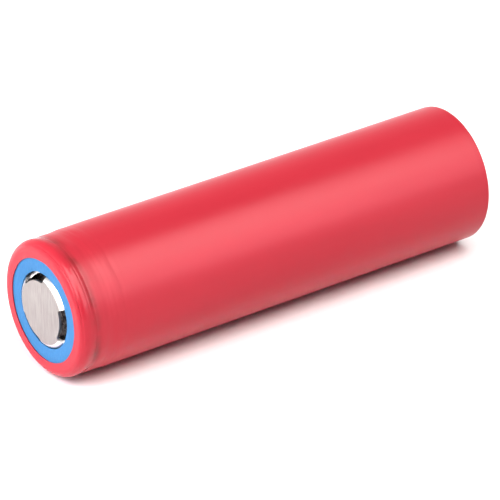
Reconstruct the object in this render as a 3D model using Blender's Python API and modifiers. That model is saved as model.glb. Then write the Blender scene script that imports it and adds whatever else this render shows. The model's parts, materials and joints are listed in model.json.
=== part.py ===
"""Cylindrical lithium-ion cell, 18 mm x 65 mm class, lying on its side.

The cell is built along its own axis first: local +Z runs from the negative
end (z = 0) to the positive terminal.  Every piece hangs from one empty that
lays this axis down, so that the positive terminal looks along world -Y and
the cell rests on z = 0.  Lengths are in metres.
"""
import math

import bmesh
import bpy
from mathutils import Matrix

MM = 0.001

# ---- driving dimensions (millimetres) ------------------------------------
SIDES = 30                 # facets round every turned piece
SPIRAL_STEPS = 24          # straight steps in one turn of the winding

OVERALL = 65.25            # negative end to the face of the positive cap
SLEEVE_R = 9.17            # outside of the shrink sleeve
SLEEVE_T = 0.12
SLEEVE_FRONT = 64.92       # plane of the sleeve's folded-in front edge
SLEEVE_LIP_R = 6.96        # edge of the sleeve over the positive end
SLEEVE_FOOT_R = 7.20       # edge of the sleeve over the negative end
FRONT_FILLET = 1.20
REAR_FILLET = 0.50

CAN_R = 9.02
CAN_T = 0.25
CAN_BASE = 0.14            # outside of the can's bottom, round its edge
CAN_FACE = 0.10            # contact face, raised in the middle of the bottom
CAN_FACE_R = 6.90
CRIMP_R = 8.85             # the can is drawn in slightly above its bead
CRIMP_TOP = 64.49
CRIMP_LIP_R = 6.90
CRIMP_CORNER = 1.00
BEAD_R = 7.65              # bottom of the rolled groove
BEAD_Z = 61.35

RING_R_IN, RING_R_OUT = 5.13, 7.92
RING_Z0, RING_Z1 = 64.53, 64.77

CAP_TOP = OVERALL
CAP_T = 0.38
CAP_FACE_R = 3.85
CAP_WALL_R = 5.07
CAP_FLANGE_TOP = 63.80
STACK_R = 8.05             # cap flange, PTC ring and vent disc share it
WINDOWS = (114.0, -6.0, -126.0)
WINDOW_SPAN = 60.0
WINDOW_R = 4.10

PTC_Z0, PTC_Z1, PTC_R_IN = 63.05, 63.35, 5.35
VENT_Z0, VENT_Z1 = 62.75, 63.00
SCORE_R = 4.30             # circular score line of the vent disc
SCORE_GAP = 0.06
CID_PLATE_Z0, CID_PLATE_Z1, CID_PLATE_R = 61.50, 61.80, 6.20

ROLL_Z0, ROLL_Z1 = 1.90, 59.20      # separator edges
ROLL_R0 = 2.00
ROLL_PITCH = 0.88
ROLL_TURNS = 6.0
SEP_T, SHEET_T = 0.06, 0.28
SEP_A, CATHODE, SEP_B, ANODE = 0.03, 0.24, 0.46, 0.67   # radial places

TAB_W, TAB_T = 3.00, 0.10
TAB_ANGLE_POS = 90.0
TAB_ANGLE_NEG = 270.0
DISC_R = 8.50


# ---- scene and helpers ----------------------------------------------------
for old in list(bpy.data.objects):
    bpy.data.objects.remove(old, do_unlink=True)

parts = bpy.data.collections.new("cylindrical_cell")
cutters = bpy.data.collections.new("cutters")
bpy.context.scene.collection.children.link(parts)
bpy.context.scene.collection.children.link(cutters)

REST = SLEEVE_R * math.cos(math.pi / SIDES)
FACET_TURN = math.pi / SIDES - math.pi / 2     # a facet straddles the bottom
axis = bpy.data.objects.new("cell_axis", None)
axis.location = (0.0, OVERALL / 2 * MM, REST * MM)
axis.rotation_euler = (math.radians(90.0), 0.0, 0.0)
axis.empty_display_size = 0.01
parts.objects.link(axis)


def material(name, colour, roughness, metallic=0.0):
    mat = bpy.data.materials.new(name)
    mat.use_nodes = True
    shader = mat.node_tree.nodes["Principled BSDF"]
    shader.inputs["Base Color"].default_value = (*colour, 1.0)
    shader.inputs["Roughness"].default_value = roughness
    shader.inputs["Metallic"].default_value = metallic
    mat.diffuse_color = (*colour, 1.0)
    return mat


MATERIALS = {
    "sleeve_film": material("sleeve_film", (0.70, 0.07, 0.10), 0.34),
    "blue_fibre": material("blue_fibre", (0.09, 0.38, 0.90), 0.60),
    "nickel_plate": material("nickel_plate", (0.72, 0.69, 0.66), 0.30, 1.0),
    "can_steel": material("can_steel", (0.60, 0.60, 0.60), 0.34, 1.0),
    "aluminium": material("aluminium", (0.80, 0.80, 0.81), 0.36, 1.0),
    "ptc_polymer": material("ptc_polymer", (0.05, 0.05, 0.055), 0.55),
    "clear_pp": material("clear_pp", (0.78, 0.79, 0.78), 0.40),
    "white_pp": material("white_pp", (0.85, 0.85, 0.82), 0.50),
    "cathode_coat": material("cathode_coat", (0.035, 0.035, 0.038), 0.70),
    "anode_coat": material("anode_coat", (0.10, 0.09, 0.085), 0.75),
    "separator_film": material("separator_film", (0.88, 0.88, 0.86), 0.55),
    "nickel_strip": material("nickel_strip", (0.66, 0.64, 0.60), 0.28, 1.0),
    "tape_amber": material("tape_amber", (0.62, 0.30, 0.05), 0.35),
    "tape_green": material("tape_green", (0.06, 0.36, 0.20), 0.40),
    "pin_steel": material("pin_steel", (0.55, 0.55, 0.54), 0.35, 1.0),
}


def add(name, mesh, slot):
    obj = bpy.data.objects.new(name, mesh)
    mesh.materials.append(MATERIALS[slot])
    parts.objects.link(obj)
    obj.parent = axis
    return obj


def finish_mesh(obj, sharp=32.0):
    """Keep the evaluated shape as the object's own mesh, shaded smooth."""
    bpy.context.view_layer.update()
    graph = bpy.context.evaluated_depsgraph_get()
    mesh = bpy.data.meshes.new_from_object(obj.evaluated_get(graph))
    mesh.name = obj.name
    obj.modifiers.clear()
    obj.data = mesh
    mesh.shade_smooth()
    mesh.set_sharp_from_angle(angle=math.radians(sharp))
    return obj


def arc(cx, cz, radius, start, end, steps):
    """Points of an arc in the profile plane, both ends included."""
    points = []
    for i in range(steps + 1):
        a = math.radians(start + (end - start) * i / steps)
        points.append((cx + radius * math.cos(a), cz + radius * math.sin(a)))
    return points


def offset_path(path, distance):
    """Parallel path, to the left of the direction of travel, mitred."""
    normals = []
    for (x0, z0), (x1, z1) in zip(path, path[1:]):
        length = math.hypot(x1 - x0, z1 - z0)
        normals.append((-(z1 - z0) / length, (x1 - x0) / length))
    result = []
    for i, (x, z) in enumerate(path):
        before = normals[max(i - 1, 0)]
        after = normals[min(i, len(normals) - 1)]
        mx, mz = before[0] + after[0], before[1] + after[1]
        scale = 2.0 * distance / (mx * mx + mz * mz)
        result.append((x + mx * scale, z + mz * scale))
    return result


def turned(name, points, slot, closed=True):
    """Turn a profile about local Z.

    closed=True is a ring whose section is a loop clear of the axis; otherwise
    the section starts and ends on the axis.  The outer side runs downwards.
    """
    area = 0.0
    for (x0, z0), (x1, z1) in zip(points, points[1:] + points[:1]):
        area += x0 * z1 - x1 * z0
    if area > 0.0:
        points = points[::-1]
    bm = bmesh.new()
    verts = [bm.verts.new((x * MM, 0.0, z * MM)) for x, z in points]
    for a, b in zip(verts, verts[1:]):
        bm.edges.new((a, b))
    if closed:
        bm.edges.new((verts[-1], verts[0]))
    mesh = bpy.data.meshes.new(name)
    bm.to_mesh(mesh)
    bm.free()
    obj = add(name, mesh, slot)
    obj.rotation_euler = (0.0, 0.0, FACET_TURN)
    screw = obj.modifiers.new("Turn", "SCREW")
    screw.axis = "Z"
    screw.angle = 2.0 * math.pi
    screw.steps = SIDES
    screw.render_steps = SIDES
    screw.use_merge_vertices = not closed
    screw.merge_threshold = 1e-7
    return finish_mesh(obj)


def ribbon(name, plan, z0, z1, thickness, slot, turn=0.0):
    """Sheet standing on a plan line: an open surface given a thickness."""
    bm = bmesh.new()
    verts = [bm.verts.new((x * MM, y * MM, z0 * MM)) for x, y in plan]
    edges = [bm.edges.new(pair) for pair in zip(verts, verts[1:])]
    grown = bmesh.ops.extrude_edge_only(bm, edges=edges)
    moved = [g for g in grown["geom"] if isinstance(g, bmesh.types.BMVert)]
    bmesh.ops.translate(bm, verts=moved, vec=(0.0, 0.0, (z1 - z0) * MM))
    mesh = bpy.data.meshes.new(name)
    bm.to_mesh(mesh)
    bm.free()
    obj = add(name, mesh, slot)
    obj.rotation_euler = (0.0, 0.0, math.radians(turn))
    wall = obj.modifiers.new("Thickness", "SOLIDIFY")
    wall.thickness = thickness * MM
    wall.offset = 0.0
    wall.use_even_offset = True
    return finish_mesh(obj)


def spiral(offset, first, last):
    """Plan of one wound layer; first and last are counted in turns."""
    count = round((last - first) * SPIRAL_STEPS)
    points = []
    for i in range(count + 1):
        turn = first + i / SPIRAL_STEPS
        radius = ROLL_R0 + ROLL_PITCH * turn + offset
        angle = 2.0 * math.pi * turn
        points.append((radius * math.cos(angle), radius * math.sin(angle)))
    return points


def strip(name, path, width, thickness, slot, angle):
    """Bent metal strip whose side view is a path of (radius, height)."""
    bm = bmesh.new()
    verts = [bm.verts.new((r * MM, -width / 2 * MM, z * MM)) for r, z in path]
    edges = [bm.edges.new(pair) for pair in zip(verts, verts[1:])]
    grown = bmesh.ops.extrude_edge_only(bm, edges=edges)
    moved = [g for g in grown["geom"] if isinstance(g, bmesh.types.BMVert)]
    bmesh.ops.translate(bm, verts=moved, vec=(0.0, width * MM, 0.0))
    mesh = bpy.data.meshes.new(name)
    bm.to_mesh(mesh)
    bm.free()
    obj = add(name, mesh, slot)
    obj.rotation_euler = (0.0, 0.0, math.radians(angle))
    wall = obj.modifiers.new("Thickness", "SOLIDIFY")
    wall.thickness = thickness * MM
    wall.offset = 0.0
    wall.use_even_offset = True
    return finish_mesh(obj)


def band(name, radius, z0, z1, width, depth, thickness, slot, angle):
    """Tape folded round a flat strip: a box without its two ends."""
    bm = bmesh.new()
    bmesh.ops.create_cube(bm, size=1.0)
    ends = [f for f in bm.faces if abs(f.normal.z) > 0.5]
    bmesh.ops.delete(bm, geom=ends, context="FACES_ONLY")
    bmesh.ops.scale(bm, verts=bm.verts,
                    vec=(depth * MM, width * MM, (z1 - z0) * MM))
    bmesh.ops.translate(bm, verts=bm.verts,
                        vec=(radius * MM, 0.0, (z0 + z1) / 2 * MM))
    mesh = bpy.data.meshes.new(name)
    bm.to_mesh(mesh)
    bm.free()
    obj = add(name, mesh, slot)
    obj.rotation_euler = (0.0, 0.0, math.radians(angle))
    wall = obj.modifiers.new("Thickness", "SOLIDIFY")
    wall.thickness = thickness * MM
    wall.offset = 1.0
    wall.use_even_offset = True
    return finish_mesh(obj)


def cutter(name, bm):
    bmesh.ops.recalc_face_normals(bm, faces=bm.faces)
    mesh = bpy.data.meshes.new(name)
    bm.to_mesh(mesh)
    bm.free()
    obj = bpy.data.objects.new(name, mesh)
    obj.hide_render = True
    obj.display_type = "WIRE"
    cutters.objects.link(obj)
    obj.parent = axis
    return obj


def round_cutter(name, radius, z0, z1, place_r, angle, sides=12):
    bm = bmesh.new()
    bmesh.ops.create_cone(bm, cap_ends=True, segments=sides,
                          radius1=radius * MM, radius2=radius * MM,
                          depth=(z1 - z0) * MM)
    a = math.radians(angle)
    bmesh.ops.translate(bm, verts=bm.verts,
                        vec=(place_r * math.cos(a) * MM,
                             place_r * math.sin(a) * MM,
                             (z0 + z1) / 2 * MM))
    return cutter(name, bm)


def slot_cutter(name, place_r, angle, depth, width, z0, z1):
    bm = bmesh.new()
    bmesh.ops.create_cube(bm, size=1.0)
    bmesh.ops.scale(bm, verts=bm.verts,
                    vec=(depth * MM, width * MM, (z1 - z0) * MM))
    bmesh.ops.translate(bm, verts=bm.verts,
                        vec=(place_r * MM, 0.0, (z0 + z1) / 2 * MM))
    bmesh.ops.rotate(bm, verts=bm.verts, cent=(0.0, 0.0, 0.0),
                     matrix=Matrix.Rotation(math.radians(angle), 3, "Z"))
    return cutter(name, bm)


def sector_cutter(name, r0, r1, z0, z1, centre, span, steps=6):
    """A curved block: a rectangle spun part of the way round the axis."""
    bm = bmesh.new()
    start = math.radians(centre - span / 2)
    corners = [(r0, z0), (r1, z0), (r1, z1), (r0, z1)]
    verts = [bm.verts.new((r * math.cos(start) * MM,
                           r * math.sin(start) * MM, z * MM))
             for r, z in corners]
    face = bm.faces.new(verts)
    bmesh.ops.spin(bm, geom=[face] + list(face.edges) + verts,
                   cent=(0.0, 0.0, 0.0), axis=(0.0, 0.0, 1.0),
                   angle=math.radians(span), steps=steps)
    return cutter(name, bm)


def cut(obj, *tools):
    for tool in tools:
        step = obj.modifiers.new(tool.name, "BOOLEAN")
        step.operation = "DIFFERENCE"
        step.solver = "EXACT"
        step.object = tool
    return finish_mesh(obj)


# ---- shrink sleeve --------------------------------------------------------
# Outer line from the negative edge to the positive edge.  The film bridges
# the can's bead, so the groove shows only as a shallow hollow.
sleeve_line = [(SLEEVE_FOOT_R, 0.0)]
sleeve_line += arc(SLEEVE_R - REAR_FILLET, REAR_FILLET, REAR_FILLET, -90, 0, 3)
sleeve_line += [(SLEEVE_R, 60.45), (9.07, 60.90), (9.00, 61.40),
                (9.00, 61.95), (9.04, 62.50)]
sleeve_line += arc(9.01 - FRONT_FILLET, SLEEVE_FRONT - FRONT_FILLET,
                   FRONT_FILLET, 0, 90, 5)
sleeve_line += [(SLEEVE_LIP_R, SLEEVE_FRONT)]
turned("wrap_sleeve",
       sleeve_line + offset_path(sleeve_line, SLEEVE_T)[::-1], "sleeve_film")

# ---- can ------------------------------------------------------------------
can_corner = 0.42
can_line = [(0.0, CAN_FACE), (CAN_FACE_R, CAN_FACE),
            (CAN_FACE_R + 0.12, CAN_BASE)]
can_line += arc(CAN_R - can_corner, CAN_BASE + can_corner, can_corner,
                -90, 0, 3)
can_line += [(CAN_R, BEAD_Z - 0.95), (CAN_R - 0.20, BEAD_Z - 0.72),
             (BEAD_R + 0.40, BEAD_Z - 0.45), (BEAD_R, BEAD_Z - 0.12),
             (BEAD_R, BEAD_Z + 0.12), (BEAD_R + 0.40, BEAD_Z + 0.45),
             (CRIMP_R - 0.12, BEAD_Z + 0.60), (CRIMP_R, BEAD_Z + 0.78)]
can_line += arc(CRIMP_R - CRIMP_CORNER, CRIMP_TOP - CRIMP_CORNER,
                CRIMP_CORNER, 0, 90, 5)
can_line += [(CRIMP_LIP_R, CRIMP_TOP)]
can_inside = offset_path(can_line, CAN_T)
can_inside[0] = (0.0, CAN_FACE + CAN_T)
turned("can", can_line + can_inside[::-1], "can_steel", closed=False)

# ---- positive end ---------------------------------------------------------
turned("top_insulator_ring",
       [(RING_R_IN, RING_Z0), (RING_R_OUT, RING_Z0),
        (RING_R_OUT, RING_Z1), (RING_R_IN, RING_Z1)], "blue_fibre")

cap_line = [(STACK_R, CAP_FLANGE_TOP), (CAP_WALL_R + 0.28, CAP_FLANGE_TOP),
            (CAP_WALL_R + 0.08, CAP_FLANGE_TOP + 0.08),
            (CAP_WALL_R, CAP_FLANGE_TOP + 0.28),
            (CAP_WALL_R, CAP_TOP - 0.85),
            (CAP_WALL_R - 0.05, CAP_TOP - 0.55),
            (CAP_WALL_R - 0.22, CAP_TOP - 0.32),
            (CAP_WALL_R - 0.52, CAP_TOP - 0.15),
            (CAP_WALL_R - 0.92, CAP_TOP - 0.03),
            (CAP_FACE_R, CAP_TOP), (0.0, CAP_TOP)]
cap_inside = offset_path(cap_line, CAP_T)
cap_inside[-1] = (0.0, CAP_TOP - CAP_T)
cap = turned("positive_cap", cap_line[::-1] + cap_inside, "nickel_plate",
             closed=False)
cut(cap, *[sector_cutter("window_%d" % (i + 1), WINDOW_R, 5.9,
                         CAP_FLANGE_TOP + 0.14, CAP_TOP + 0.5, centre,
                         WINDOW_SPAN)
           for i, centre in enumerate(WINDOWS)])

turned("ptc_ring",
       [(PTC_R_IN, PTC_Z0), (STACK_R, PTC_Z0),
        (STACK_R, PTC_Z1), (PTC_R_IN, PTC_Z1)], "ptc_polymer")

# The vent disc is one aluminium stamping on the real cell.  It is split at
# its score line, so that its dished centre can snap outwards.
turned("vent_disc_rim",
       [(SCORE_R, VENT_Z0 + 0.08), (SCORE_R + 0.12, VENT_Z0),
        (STACK_R, VENT_Z0), (STACK_R, VENT_Z1),
        (SCORE_R + 0.12, VENT_Z1), (SCORE_R, VENT_Z1 - 0.08)], "aluminium")
dish = SCORE_R - SCORE_GAP
turned("vent_disc_centre",
       [(0.0, 62.12), (1.55, 62.12), (2.20, 62.28), (3.55, 62.93),
        (dish - 0.12, VENT_Z1), (dish, VENT_Z1 - 0.08),
        (dish, VENT_Z0 + 0.08), (dish - 0.12, VENT_Z0),
        (3.60, 62.68), (2.25, 62.03), (1.60, 61.86), (0.0, 61.86)],
       "aluminium", closed=False)

# Ring of C section that holds the weld plate under the vent disc, insulated.
turned("cid_insulator",
       [(5.20, 62.70), (6.85, 62.70), (6.85, 62.35), (6.60, 62.35),
        (6.60, 61.20), (5.70, 61.20), (5.70, 61.45), (6.26, 61.45),
        (6.26, 62.35), (5.20, 62.35)], "white_pp")
plate = turned("cid_weld_plate",
               [(0.0, CID_PLATE_Z1), (CID_PLATE_R, CID_PLATE_Z1),
                (CID_PLATE_R, CID_PLATE_Z0), (0.0, CID_PLATE_Z0)],
               "aluminium", closed=False)
cut(plate, *[round_cutter("plate_hole_%d" % (i + 1), 0.75, 61.2, 62.1, 3.75,
                          30.0 + 60.0 * i) for i in range(6)])

gasket_bend = CRIMP_CORNER - CAN_T - 0.04
turned("crimp_gasket",
       [(6.72, CRIMP_TOP - CAN_T - 0.04)]
       + arc(CRIMP_R - CRIMP_CORNER, CRIMP_TOP - CRIMP_CORNER, gasket_bend,
             90, 0, 5)
       + [(8.56, 62.50), (8.38, 62.31), (7.05, 62.31), (7.05, 62.70),
          (8.10, 62.70), (8.10, 63.84), (6.72, 63.84)], "clear_pp")

# ---- winding --------------------------------------------------------------
ribbon("separator_inner", spiral(SEP_A, 0.0, ROLL_TURNS + 1.0),
       ROLL_Z0, ROLL_Z1, SEP_T, "separator_film")
ribbon("separator_outer", spiral(SEP_B, 0.0, ROLL_TURNS + 0.125),
       ROLL_Z0, ROLL_Z1, SEP_T, "separator_film")
ribbon("cathode_sheet", spiral(CATHODE, 0.25, ROLL_TURNS - 0.25),
       ROLL_Z0 + 0.80, ROLL_Z1 - 0.80, SHEET_T, "cathode_coat")
ribbon("anode_sheet", spiral(ANODE, 0.125, ROLL_TURNS),
       ROLL_Z0 + 0.40, ROLL_Z1 - 0.40, SHEET_T, "anode_coat")
tape_offset = SEP_A + SEP_T / 2 + 0.07
ribbon("roll_closing_tape",
       spiral(tape_offset, ROLL_TURNS + 0.375, ROLL_TURNS + 1.125),
       ROLL_Z0 + 3.0, ROLL_Z1 - 3.0, 0.06, "tape_green")

pin_arc = [(1.40 * math.cos(math.radians(a)), 1.40 * math.sin(math.radians(a)))
           for a in [20.0 + 320.0 * i / 16 for i in range(17)]]
ribbon("centre_pin", pin_arc, 3.0, 58.2, 0.20, "pin_steel", turn=30.0)

# ---- tabs, tapes and insulator discs --------------------------------------
pos_r = ROLL_R0 + ROLL_PITCH * (5.0 + TAB_ANGLE_POS / 360.0) + CATHODE - 0.08
neg_r = ROLL_R0 + ROLL_PITCH * (5.0 + TAB_ANGLE_NEG / 360.0) + ANODE - 0.07
strip("positive_tab",
      [(pos_r, ROLL_Z1 - 0.75), (pos_r, 60.55), (pos_r - 0.22, 60.84),
       (5.30, 60.96), (4.55, 61.30), (4.20, 61.42), (1.50, 61.42)],
      TAB_W, TAB_T, "aluminium", TAB_ANGLE_POS)
strip("negative_tab",
      [(neg_r, ROLL_Z0 + 0.35), (neg_r, 0.66), (neg_r - 0.15, 0.48),
       (0.0, 0.48)],
      TAB_W, TAB_T, "nickel_strip", TAB_ANGLE_NEG)
band("positive_tab_tape", pos_r, ROLL_Z1 + 0.06, 59.86, TAB_W + 0.10,
     TAB_T + 0.08, 0.08, "tape_amber", TAB_ANGLE_POS)
band("negative_tab_tape", neg_r, 0.98, ROLL_Z0 - 0.06, TAB_W + 0.10,
     TAB_T + 0.08, 0.08, "tape_amber", TAB_ANGLE_NEG)

upper = turned("upper_insulator_disc",
               [(1.60, 59.95), (DISC_R, 59.95), (DISC_R, 60.18),
                (1.60, 60.18)], "white_pp")
cut(upper,
    slot_cutter("upper_slot", pos_r, TAB_ANGLE_POS, 0.70, TAB_W + 0.6,
                59.5, 60.6),
    *[round_cutter("upper_hole_%d" % (i + 1), 0.90, 59.5, 60.6, 4.40, angle)
      for i, angle in enumerate((210.0, 330.0, 270.0))])
lower = turned("lower_insulator_disc",
               [(1.60, 0.62), (DISC_R, 0.62), (DISC_R, 0.84),
                (1.60, 0.84)], "white_pp")
cut(lower,
    slot_cutter("lower_slot", neg_r, TAB_ANGLE_NEG, 0.70, TAB_W + 0.6,
                0.3, 1.2))
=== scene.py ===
import json
import math

import bmesh
import bpy
import numpy as np
from mathutils import Matrix, Vector


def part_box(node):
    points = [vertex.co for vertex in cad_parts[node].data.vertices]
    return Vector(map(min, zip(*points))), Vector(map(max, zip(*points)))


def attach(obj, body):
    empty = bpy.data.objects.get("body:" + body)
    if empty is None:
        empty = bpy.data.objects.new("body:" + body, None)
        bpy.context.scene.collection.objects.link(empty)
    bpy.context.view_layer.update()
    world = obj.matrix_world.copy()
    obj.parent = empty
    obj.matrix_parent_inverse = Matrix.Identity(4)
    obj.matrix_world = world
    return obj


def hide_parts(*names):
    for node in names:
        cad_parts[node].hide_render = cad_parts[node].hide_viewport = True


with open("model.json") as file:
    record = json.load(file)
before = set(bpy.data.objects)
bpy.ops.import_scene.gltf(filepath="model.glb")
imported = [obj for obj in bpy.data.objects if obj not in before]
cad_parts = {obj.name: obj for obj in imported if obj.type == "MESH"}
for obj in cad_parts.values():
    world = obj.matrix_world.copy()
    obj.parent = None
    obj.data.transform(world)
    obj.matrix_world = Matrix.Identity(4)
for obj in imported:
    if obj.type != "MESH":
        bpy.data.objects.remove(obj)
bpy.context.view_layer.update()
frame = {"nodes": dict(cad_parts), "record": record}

MM = 0.001
rng = np.random.default_rng(1865)

# The CAD frame: the cell's axis lies along Y, positive end towards -Y.
front_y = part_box("wrap_sleeve")[0][1] / MM          # plane of the front edge
cap_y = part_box("positive_cap")[0][1] / MM
rear_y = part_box("wrap_sleeve")[1][1] / MM
sleeve_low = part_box("wrap_sleeve")[0][2] / MM
sleeve_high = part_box("wrap_sleeve")[1][2] / MM
CENTRE_Z = (sleeve_low + sleeve_high) / 2            # height of the axis
R_OUT = 9.155                                        # round, pressed flat below
LENGTH = rear_y - cap_y                              # 65.25 mm, cap to foot
SLEEVE_FRONT = rear_y - front_y                      # 64.92 mm from the foot


# ---------------------------------------------------------------------------
# camera: where the photograph was taken from
# ---------------------------------------------------------------------------
def unit(v):
    v = np.asarray(v, float)
    return v / np.linalg.norm(v)


right = unit((0.59110, 0.80660, 0.0))
forward = unit((-0.71187, 0.52169, -0.47018))
down = np.cross(forward, right)
scale = 9.15
focus = np.array((0.0, front_y, CENTRE_Z))
cam_pos = (focus - scale * (-2.85393 * right + 0.83557 * down
                            + 64.9653 * forward))
camera_data = bpy.data.cameras.new("camera")
camera_data.sensor_width = 36.0
camera_data.lens = 4714.39 / 500.0 * 36.0
camera_data.clip_start = 0.01
camera_data.clip_end = 20.0
camera = bpy.data.objects.new("camera", camera_data)
camera.matrix_world = Matrix((
    (right[0], -down[0], -forward[0], cam_pos[0] * MM),
    (right[1], -down[1], -forward[1], cam_pos[1] * MM),
    (right[2], -down[2], -forward[2], cam_pos[2] * MM),
    (0, 0, 0, 1)))
bpy.context.scene.collection.objects.link(camera)
bpy.context.scene.camera = camera
bpy.context.scene.view_settings.view_transform = "Standard"
bpy.context.scene.view_settings.look = "None"


# ---------------------------------------------------------------------------
# floor and light
# ---------------------------------------------------------------------------
def node(tree, kind, **values):
    n = tree.nodes.new(kind)
    for key, value in values.items():
        if hasattr(n, key):
            setattr(n, key, value)
        else:
            n.inputs[key.replace("_", " ")].default_value = value
    return n


world = bpy.data.worlds.new("studio")
bpy.context.scene.world = world
world.use_nodes = True
wt = world.node_tree
wt.nodes.clear()
w_out = wt.nodes.new("ShaderNodeOutputWorld")
w_coord = wt.nodes.new("ShaderNodeTexCoord")
w_sep = wt.nodes.new("ShaderNodeSeparateXYZ")
wt.links.new(w_coord.outputs["Generated"], w_sep.inputs[0])
w_ramp = wt.nodes.new("ShaderNodeValToRGB")
wt.links.new(w_sep.outputs["Z"], w_ramp.inputs["Fac"])
stops = [(0.0, 1.0), (0.20, 1.0), (0.42, 0.63), (0.70, 0.39), (1.0, 0.35)]
ramp = w_ramp.color_ramp
while len(ramp.elements) < len(stops):
    ramp.elements.new(0.5)
for el, (pos, val) in zip(ramp.elements, stops):
    el.position = pos
    el.color = (val, val, val * 1.01, 1.0)
# the side of the room towards +X is dark, the paper behind is bright
w_side = wt.nodes.new("ShaderNodeMapRange")
w_side.interpolation_type = "SMOOTHSTEP"
w_side.inputs["From Min"].default_value = -0.45
w_side.inputs["From Max"].default_value = 0.55
w_side.inputs["To Min"].default_value = 1.0
w_side.inputs["To Max"].default_value = 0.11
wt.links.new(w_sep.outputs["X"], w_side.inputs["Value"])
w_bg = wt.nodes.new("ShaderNodeBackground")
wt.links.new(w_ramp.outputs["Color"], w_bg.inputs["Color"])
wt.links.new(w_side.outputs["Result"], w_bg.inputs["Strength"])
w_white = wt.nodes.new("ShaderNodeBackground")
w_white.inputs["Color"].default_value = (1, 1, 1, 1)
w_white.inputs["Strength"].default_value = 1.0
w_path = wt.nodes.new("ShaderNodeLightPath")
w_mix = wt.nodes.new("ShaderNodeMixShader")
wt.links.new(w_path.outputs["Is Camera Ray"], w_mix.inputs[0])
wt.links.new(w_bg.outputs[0], w_mix.inputs[1])
wt.links.new(w_white.outputs[0], w_mix.inputs[2])
wt.links.new(w_mix.outputs[0], w_out.inputs[0])


def softbox(name, direction, distance, size_x, size_y, radiance,
            tint=(1, 1, 1), sheen_only=False, fill_only=False):
    """A soft rectangular light that looks at the middle of the cell.

    radiance is what a mirror would show, with white paper at about 1. A
    reflector card (sheen_only) is seen in the glossy film but is too weak to
    light anything, and a bounced fill (fill_only) lights without a glare.
    """
    data = bpy.data.lights.new(name, "AREA")
    data.shape = "RECTANGLE"
    data.size = size_x
    data.size_y = size_y
    data.energy = radiance * math.pi * size_x * size_y
    data.color = tint
    obj = bpy.data.objects.new(name, data)
    d = Vector(unit(direction))
    obj.location = d * distance + Vector((0, 0, CENTRE_Z * MM))
    obj.rotation_euler = d.to_track_quat("Z", "Y").to_euler()
    bpy.context.scene.collection.objects.link(obj)
    if sheen_only:
        obj.visible_diffuse = False
    if fill_only:
        obj.visible_glossy = False
    return obj


def round_axis(angle, tilt):
    """Direction at an angle from +X towards +Z, tilted towards +Y."""
    a, t = math.radians(angle), math.radians(tilt)
    return (math.cos(a) * math.cos(t), math.sin(t),
            math.sin(a) * math.cos(t))


softbox("key", round_axis(60.4, 9.5), 0.60, 0.66, 0.378, 6.2,
        (1.0, 0.985, 0.945))
softbox("key_sheen", round_axis(59.6, 9.5), 0.60, 0.66, 0.362, 6.2,
        sheen_only=True)
softbox("key_front", round_axis(64.0, -38.0), 0.60, 0.36, 0.56, 13.0,
        sheen_only=True)
softbox("key_edge", round_axis(40.0, 14.0), 0.60, 0.66, 0.063, 10.0,
        sheen_only=True)
softbox("key_low", round_axis(28.0, 14.0), 0.60, 0.66, 0.19, 8.8,
        (1.0, 1.0, 1.05), sheen_only=True)
softbox("key_foot", round_axis(11.0, 14.0), 0.60, 0.66, 0.20, 3.2,
        (1.0, 1.0, 1.08), sheen_only=True)
softbox("front_card", (-0.10, -0.93, 0.32), 0.70, 0.55, 0.45, 2.2,
        sheen_only=True)
softbox("front_fill", (-0.24, -0.82, 0.50), 0.80, 0.90, 0.90, 4.8,
        (1.0, 0.98, 1.03), fill_only=True)
softbox("left_fill", (-0.88, -0.32, 0.34), 0.80, 0.80, 0.46, 2.2,
        fill_only=True)

floor_mesh = bpy.data.meshes.new("floor")
bm = bmesh.new()
bmesh.ops.create_grid(bm, x_segments=4, y_segments=4, size=0.55)
bm.to_mesh(floor_mesh)
bm.free()
floor = bpy.data.objects.new("floor", floor_mesh)
bpy.context.scene.collection.objects.link(floor)
floor_mat = bpy.data.materials.new("floor_paper")
floor_mat.use_nodes = True
fs = floor_mat.node_tree.nodes["Principled BSDF"]
fs.inputs["Roughness"].default_value = 0.9
fs.inputs["Specular IOR Level"].default_value = 0.1
f_coord = floor_mat.node_tree.nodes.new("ShaderNodeTexCoord")
f_noise = floor_mat.node_tree.nodes.new("ShaderNodeTexNoise")
f_noise.inputs["Scale"].default_value = 900.0
f_ramp = floor_mat.node_tree.nodes.new("ShaderNodeValToRGB")
f_ramp.color_ramp.elements[0].color = (0.905, 0.880, 0.897, 1)
f_ramp.color_ramp.elements[1].color = (0.922, 0.897, 0.914, 1)
floor_mat.node_tree.links.new(f_coord.outputs["Object"], f_noise.inputs["Vector"])
floor_mat.node_tree.links.new(f_noise.outputs["Fac"], f_ramp.inputs["Fac"])
floor_mat.node_tree.links.new(f_ramp.outputs["Color"], fs.inputs["Base Color"])
floor.data.materials.append(floor_mat)


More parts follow.
